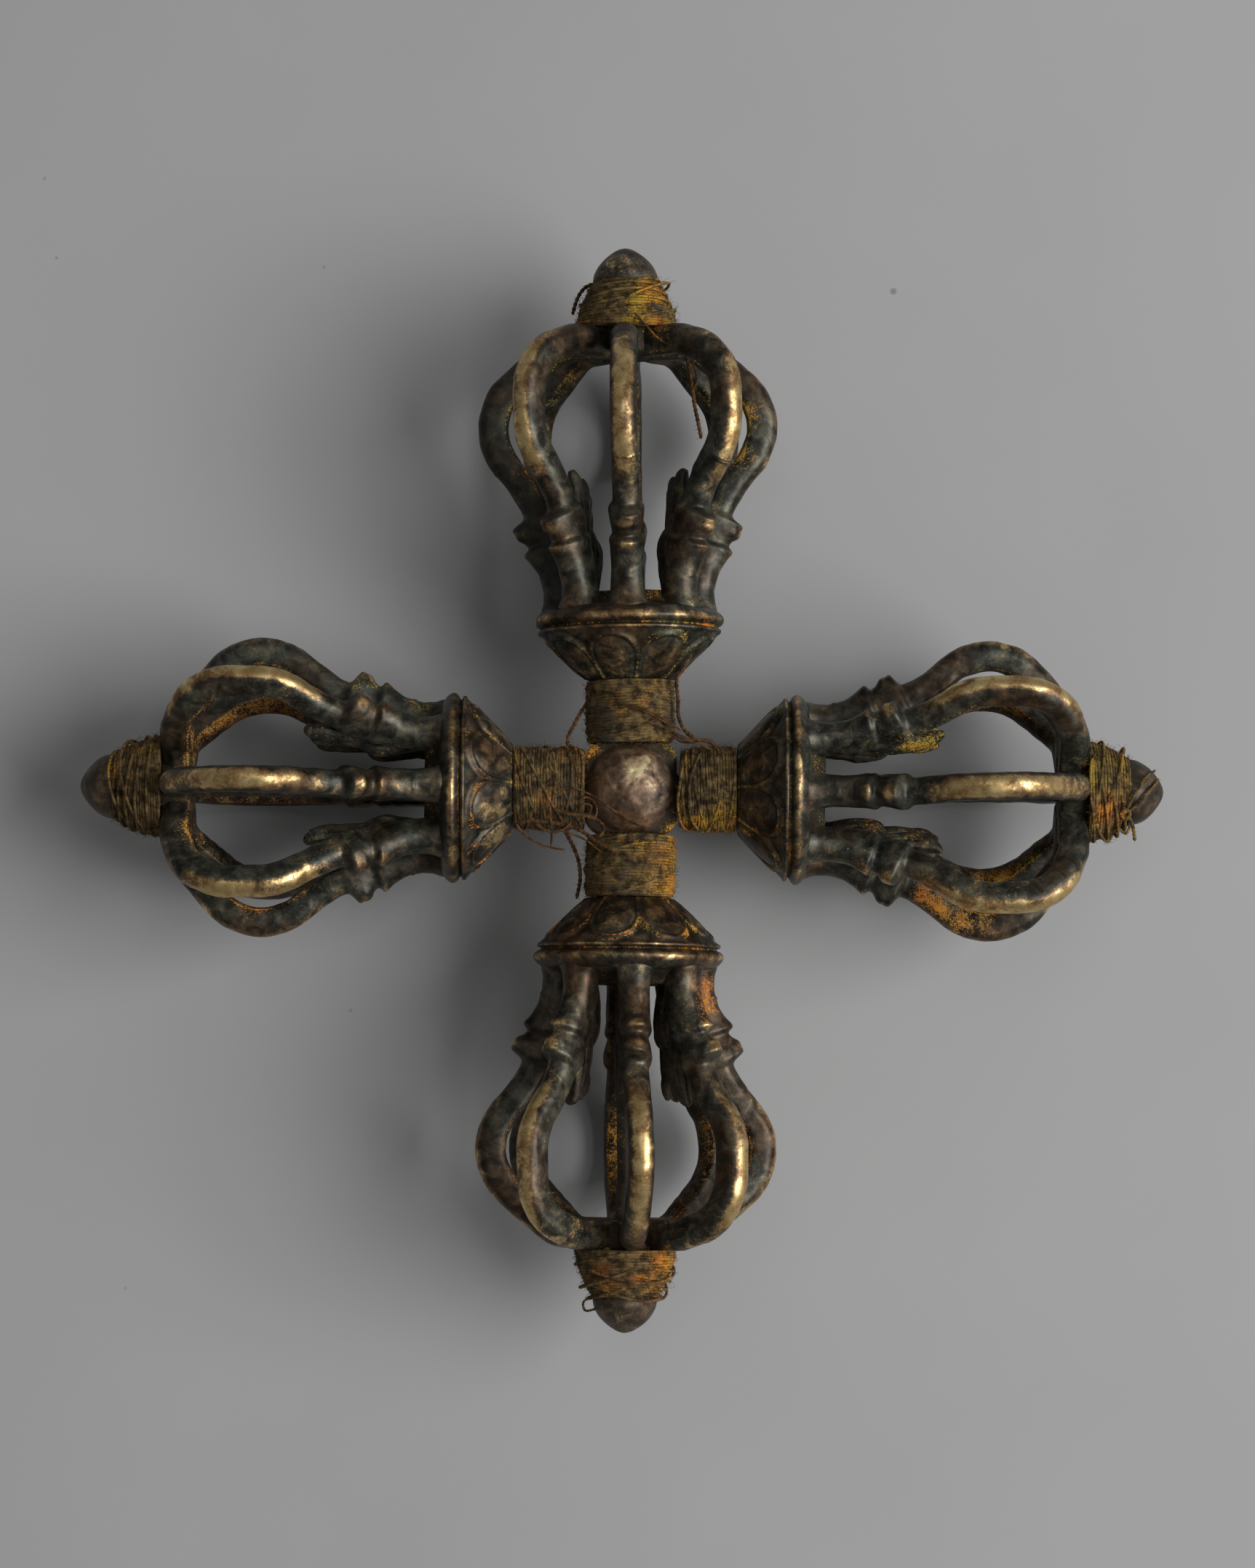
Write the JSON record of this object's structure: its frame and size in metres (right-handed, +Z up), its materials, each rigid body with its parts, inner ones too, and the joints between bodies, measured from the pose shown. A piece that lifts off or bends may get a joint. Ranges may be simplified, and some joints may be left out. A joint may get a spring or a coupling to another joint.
{
  "type": "crossed double dorje",
  "caption": "Crossed bronze vajra: a ball hub with four caged heads of curved prongs on lotus seats, domed finials, and thread wound on the necks and tips.",
  "frame": {"origin": "on the resting plane, straight below the middle of the hub", "axes": "+X along the east arm, +Y along the north arm, +Z up out of the plane of the cross"},
  "size_m": [0.1604, 0.1601, 0.0446],
  "materials": {
    "cast_bronze": "dark patina, worn bright on the outer faces, powder in the recesses",
    "hub_bronze": "reddish brown, handled smooth, pitted",
    "dark_bronze": "unworn dark patina",
    "binding_thread": "matted brown thread rubbed with yellow and orange powder",
    "loose_thread": "stiff brown twisted thread"
  },
  "bodies": {
    "root": {"hub": "hub_bronze", "lotus_seat_east": "cast_bronze", "lotus_seat_north": "cast_bronze", "lotus_seat_west": "cast_bronze", "lotus_seat_south": "cast_bronze", "prong_east_1": "cast_bronze", "prong_east_2": "cast_bronze", "prong_east_3": "cast_bronze", "prong_east_4": "cast_bronze", "prong_east_5": "cast_bronze", "prong_east_6": "cast_bronze", "prong_east_7": "cast_bronze", "prong_east_8": "cast_bronze", "prong_north_1": "cast_bronze", "prong_north_2": "cast_bronze", "prong_north_3": "cast_bronze", "prong_north_4": "cast_bronze", "prong_north_5": "cast_bronze", "prong_north_6": "cast_bronze", "prong_north_7": "cast_bronze", "prong_north_8": "cast_bronze", "prong_west_1": "cast_bronze", "prong_west_2": "cast_bronze", "prong_west_3": "cast_bronze", "prong_west_4": "cast_bronze", "prong_west_5": "cast_bronze", "prong_west_6": "cast_bronze", "prong_west_7": "cast_bronze", "prong_west_8": "cast_bronze", "prong_south_1": "cast_bronze", "prong_south_2": "cast_bronze", "prong_south_3": "cast_bronze", "prong_south_4": "cast_bronze", "prong_south_5": "cast_bronze", "prong_south_6": "cast_bronze", "prong_south_7": "cast_bronze", "prong_south_8": "cast_bronze", "centre_prong_east": "dark_bronze", "centre_prong_north": "dark_bronze", "centre_prong_west": "dark_bronze", "centre_prong_south": "dark_bronze", "finial_east": "cast_bronze", "finial_north": "cast_bronze", "finial_west": "cast_bronze", "finial_south": "cast_bronze", "neck_binding_east": "binding_thread", "neck_binding_north": "binding_thread", "neck_binding_west": "binding_thread", "neck_binding_south": "binding_thread", "tip_binding_east": "binding_thread", "tip_binding_north": "binding_thread", "tip_binding_west": "binding_thread", "tip_binding_south": "binding_thread", "north_tip_tail": "loose_thread", "north_cage_tail": "loose_thread", "north_neck_loop": "loose_thread", "north_neck_thread": "loose_thread", "west_tangle": "loose_thread", "west_curl": "loose_thread", "south_west_tail": "loose_thread"}
  },
  "joints": []
}
